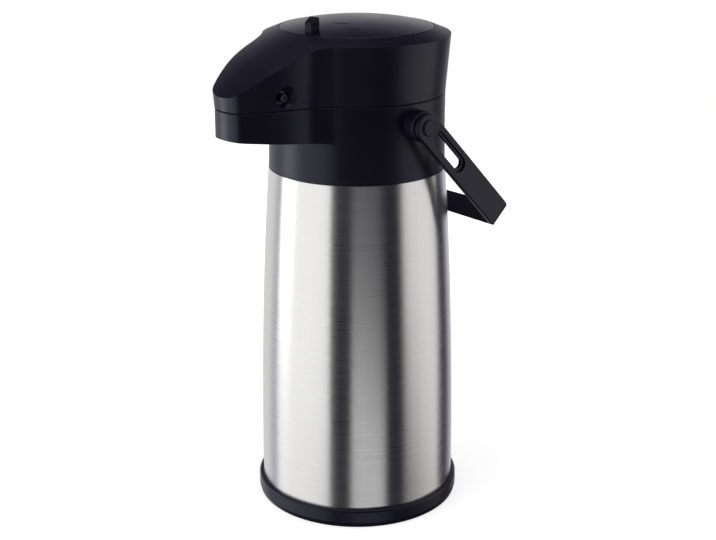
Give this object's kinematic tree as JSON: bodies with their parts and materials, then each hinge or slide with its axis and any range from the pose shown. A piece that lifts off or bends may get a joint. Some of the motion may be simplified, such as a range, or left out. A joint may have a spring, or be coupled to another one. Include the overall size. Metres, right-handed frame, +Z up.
{
  "type": "airpot",
  "caption": "Vacuum jug with a hinged pump lid, a pouring beak fed by a dip tube, side lid latches, a turning pump lock and a swinging carrying handle.",
  "frame": {"origin": "centre of the foot pad's underside, on the surface the airpot stands on", "axes": "+Z up along the body's axis, -Y towards the pouring beak, +X to the right of a user whom the beak points at"},
  "size_m": [0.1578, 0.1967, 0.3667],
  "materials": {
    "black_plastic": "satin",
    "rough_black_plastic": "rough",
    "grey_plastic": "satin",
    "brushed_steel": "fine brushing around the body",
    "flask_steel": "satin",
    "screw_steel": "bright",
    "spring_steel": "bright drawn wire",
    "silicone": "matte",
    "rubber": "matte"
  },
  "bodies": {
    "body": {"base_ring": "black_plastic", "base_cover": "black_plastic", "foot_pad": "rubber", "base_screws": "screw_steel", "outer_shell": "brushed_steel", "inner_flask": "flask_steel", "flask_shoulder": "flask_steel", "flask_throat": "flask_steel", "flask_cushion": "rubber", "neck_gasket": "silicone", "collar": "black_plastic", "mouth_ring": "grey_plastic", "deck_screws": "screw_steel", "dip_tube": "flask_steel", "tube_strainer": "grey_plastic", "port_seal": "silicone", "spout_pipe": "silicone", "spout_nozzle": "grey_plastic", "hinge_pin": "screw_steel", "handle_pin_right": "black_plastic", "handle_pin_left": "black_plastic"},
    "lid": {"lid_shell": "black_plastic", "lid_base": "grey_plastic", "lid_screws": "screw_steel", "mouth_seal": "silicone", "outlet_valve": "silicone", "bellows": "silicone", "pump_spring": "spring_steel", "latch_spring_right": "spring_steel", "latch_spring_left": "spring_steel"},
    "pusher": {"pusher": "grey_plastic", "intake_valve": "silicone"},
    "plate": {"push_plate": "black_plastic", "plate_screw": "screw_steel", "lock_tab": "rough_black_plastic"},
    "latch_right": {"latch_right": "black_plastic"},
    "latch_left": {"latch_left": "black_plastic"},
    "handle": {"handle": "black_plastic"}
  },
  "joints": [
    {"name": "lid_hinge", "type": "hinge", "parent": "body", "child": "lid", "pos_m": [0, 0.0645, 0.3092], "axis": [-1, 0, 0], "range_deg": [0, 95]},
    {"name": "pump_press", "type": "slide", "parent": "lid", "child": "pusher", "axis": [0, 0, -1], "range_m": [0, 0.02], "stiffness_N_per_m": 500, "springref_m": -0.02, "deforming": ["bellows", "pump_spring"]},
    {"name": "lock_turn", "type": "hinge", "parent": "pusher", "child": "plate", "pos_m": [0, 0, 0.36], "axis": [0, 0, -1], "range_deg": [0, 25]},
    {"name": "latch_right_press", "type": "slide", "parent": "lid", "child": "latch_right", "axis": [-1, 0, 0], "range_m": [0, 0.002], "stiffness_N_per_m": 600, "springref_m": -0.003, "deforming": ["latch_spring_right"]},
    {"name": "latch_left_press", "type": "slide", "parent": "lid", "child": "latch_left", "axis": [1, 0, 0], "range_m": [0, 0.002], "stiffness_N_per_m": 600, "springref_m": -0.003, "deforming": ["latch_spring_left"]},
    {"name": "handle_swing", "type": "hinge", "parent": "body", "child": "handle", "pos_m": [0, 0, 0.2946], "axis": [1, 0, 0], "range_deg": [0, 195]}
  ]
}
